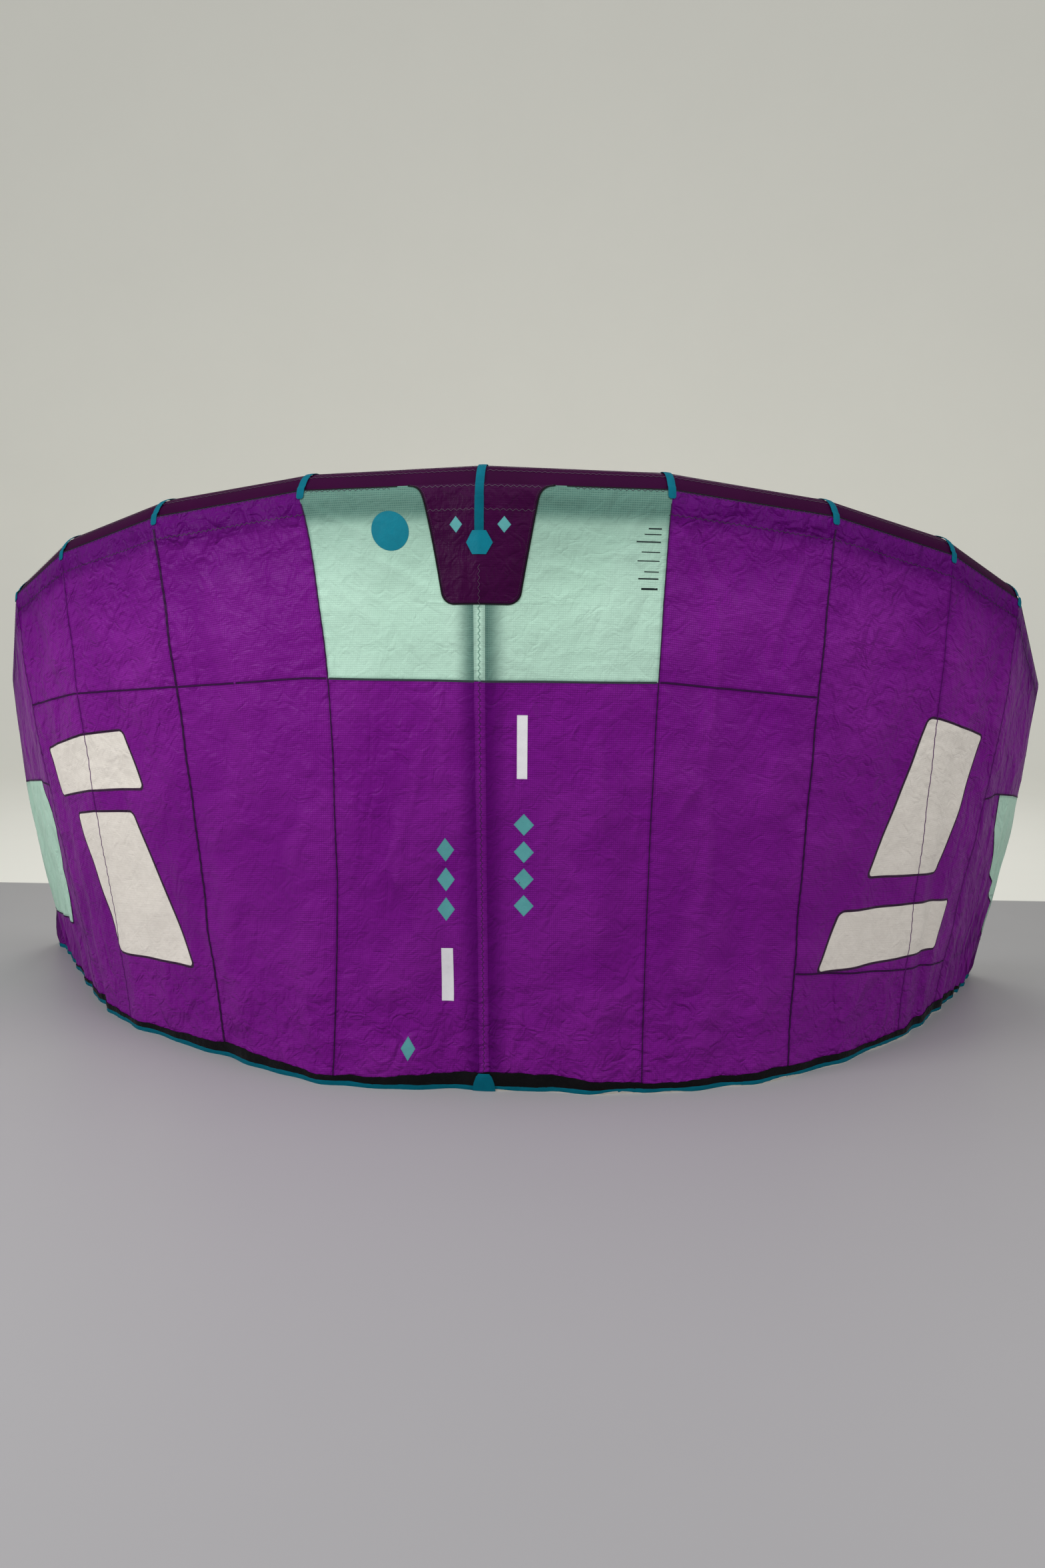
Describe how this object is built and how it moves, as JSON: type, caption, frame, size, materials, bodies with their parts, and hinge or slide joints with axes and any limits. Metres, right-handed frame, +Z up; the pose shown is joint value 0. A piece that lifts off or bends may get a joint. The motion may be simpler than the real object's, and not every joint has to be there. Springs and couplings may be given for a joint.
{
  "type": "inflatable kitesurfing kite",
  "caption": "Leading edge inflatable kite standing on its trailing edge: plum tube on top, purple and mint sailcloth canopy, centre strut behind, tips turned back.",
  "frame": {"origin": "on the floor under the middle of the kite's bounding box", "axes": "+X along the span towards the right tip as seen from the outer skin, +Y into the hollow behind the canopy, +Z up from the trailing edge to the leading edge tube; the outer skin faces -Y"},
  "size_m": [3.963, 1.7346, 1.8538],
  "materials": {
    "purple_canopy": "thin ripstop sailcloth, slightly glossy",
    "mint_canopy": "thin ripstop sailcloth, slightly glossy",
    "plum_canopy": "reinforced sailcloth, satin",
    "tube_plum": "heavy woven polyester, matt",
    "tube_mint": "heavy woven polyester, matt",
    "tube_navy": "heavy woven polyester, matt",
    "tube_cream": "heavy woven polyester, matt",
    "teal_webbing": "woven tape, matt",
    "black_hem": "sailcloth band, matt"
  },
  "bodies": {
    "root": {"band_left_1": "teal_webbing", "band_left_2": "teal_webbing", "band_left_3": "teal_webbing", "band_left_4": "teal_webbing", "band_right_1": "teal_webbing", "band_right_2": "teal_webbing", "band_right_3": "teal_webbing", "band_right_4": "teal_webbing", "centre_patch": "plum_canopy", "centre_strap": "teal_webbing", "centre_strut": "tube_plum", "gore_left_1_lower": "purple_canopy", "gore_left_2_lower": "purple_canopy", "gore_left_2_upper": "purple_canopy", "gore_left_3_lower": "purple_canopy", "gore_left_3_upper": "purple_canopy", "gore_left_4_lower": "purple_canopy", "gore_left_4_upper": "purple_canopy", "gore_right_1_lower": "purple_canopy", "gore_right_2_lower": "purple_canopy", "gore_right_2_upper": "purple_canopy", "gore_right_3_lower": "purple_canopy", "gore_right_3_upper": "purple_canopy", "gore_right_4_lower": "purple_canopy", "gore_right_4_upper": "purple_canopy", "hem_band_left": "black_hem", "hem_band_right": "black_hem", "hem_binding_left": "teal_webbing", "hem_binding_right": "teal_webbing", "hem_tab": "teal_webbing", "mint_left": "mint_canopy", "mint_right": "mint_canopy", "strap_patch": "teal_webbing", "tip_left_lower": "purple_canopy", "tip_left_mint": "mint_canopy", "tip_left_upper": "purple_canopy", "tip_right_lower": "purple_canopy", "tip_right_mint": "mint_canopy", "tip_right_upper": "purple_canopy", "tube_left_1": "tube_plum", "tube_left_2": "tube_plum", "tube_left_3": "tube_plum", "tube_left_4": "tube_plum", "tube_left_5": "tube_plum", "tube_left_6": "tube_plum", "tube_left_7": "tube_mint", "tube_left_8": "tube_navy", "tube_left_9": "tube_cream", "tube_right_1": "tube_plum", "tube_right_2": "tube_plum", "tube_right_3": "tube_plum", "tube_right_4": "tube_plum", "tube_right_5": "tube_plum", "tube_right_6": "tube_plum", "tube_right_7": "tube_mint", "tube_right_8": "tube_navy", "tube_right_9": "tube_cream"}
  },
  "joints": []
}
